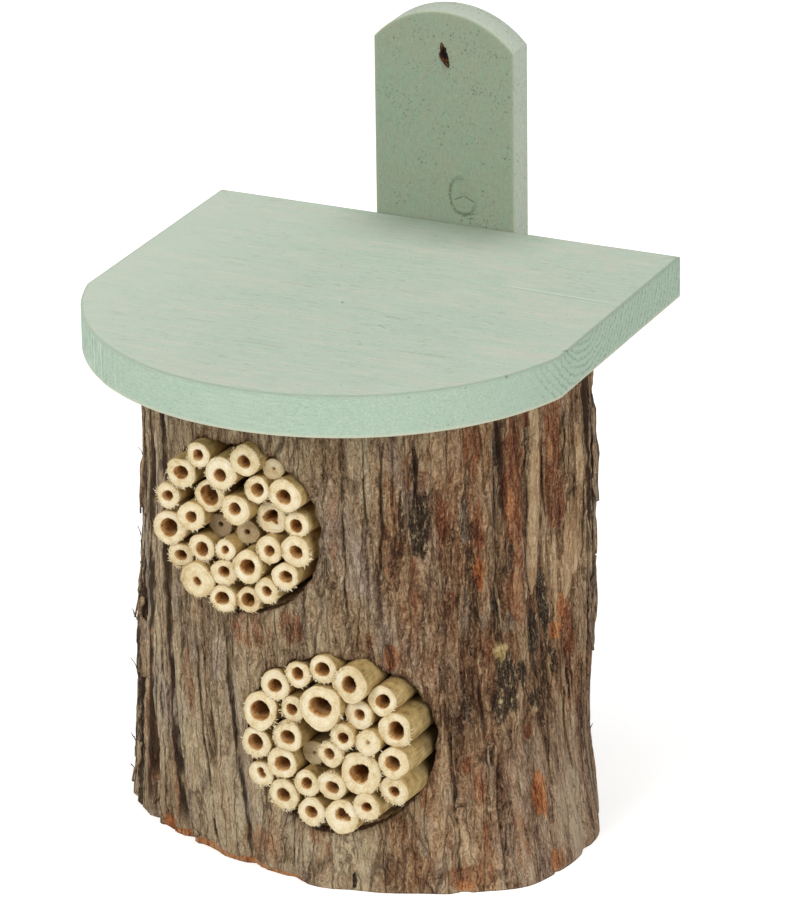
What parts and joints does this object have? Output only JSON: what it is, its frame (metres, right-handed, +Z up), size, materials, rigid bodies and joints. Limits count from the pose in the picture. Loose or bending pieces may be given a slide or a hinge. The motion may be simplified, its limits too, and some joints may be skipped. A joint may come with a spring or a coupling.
{
  "type": "bee hotel",
  "caption": "Hanging bee hotel: a bark-covered log with a flat back and round pockets packed with hollow canes, under a painted roof board, with an arched hanging board behind.",
  "frame": {"origin": "bottom centre of the whole object's bounding box, level with the log's sawn base", "axes": "+Z up along the log, -Y towards the front that the canes open to, +Y towards the wall, +X to the right as seen from the front"},
  "size_m": [0.176, 0.183, 0.267],
  "materials": {
    "bark": "rough fibrous bark, sawn wood at the base and the back",
    "roof_paint": "worn matte sage-green paint on softwood",
    "board_paint": "matte grey-green paint on softwood",
    "cane": "pale sawn bamboo and reed",
    "steel": "zinc-plated"
  },
  "bodies": {
    "root": {"log": "bark", "roof_board": "roof_paint", "hanging_board": "board_paint", "cane_upper_01": "cane", "cane_upper_02": "cane", "cane_upper_03": "cane", "cane_upper_04": "cane", "cane_upper_05": "cane", "cane_upper_06": "cane", "cane_upper_07": "cane", "cane_upper_08": "cane", "cane_upper_09": "cane", "cane_upper_10": "cane", "cane_upper_11": "cane", "cane_upper_12": "cane", "cane_upper_13": "cane", "cane_upper_14": "cane", "cane_upper_15": "cane", "cane_upper_16": "cane", "cane_upper_17": "cane", "cane_upper_18": "cane", "cane_upper_19": "cane", "cane_upper_20": "cane", "cane_upper_21": "cane", "cane_upper_22": "cane", "cane_upper_23": "cane", "cane_upper_24": "cane", "cane_upper_25": "cane", "cane_upper_26": "cane", "cane_upper_27": "cane", "cane_upper_28": "cane", "cane_lower_01": "cane", "cane_lower_02": "cane", "cane_lower_03": "cane", "cane_lower_04": "cane", "cane_lower_05": "cane", "cane_lower_06": "cane", "cane_lower_07": "cane", "cane_lower_08": "cane", "cane_lower_09": "cane", "cane_lower_10": "cane", "cane_lower_11": "cane", "cane_lower_12": "cane", "cane_lower_13": "cane", "cane_lower_14": "cane", "cane_lower_15": "cane", "cane_lower_16": "cane", "cane_lower_17": "cane", "cane_lower_18": "cane", "cane_lower_19": "cane", "cane_lower_20": "cane", "cane_lower_21": "cane", "cane_lower_22": "cane", "cane_lower_23": "cane", "cane_lower_24": "cane", "cane_lower_25": "cane", "cane_lower_26": "cane", "cane_lower_27": "cane", "board_screw_roof": "steel", "board_screw_log": "steel"}
  },
  "joints": []
}
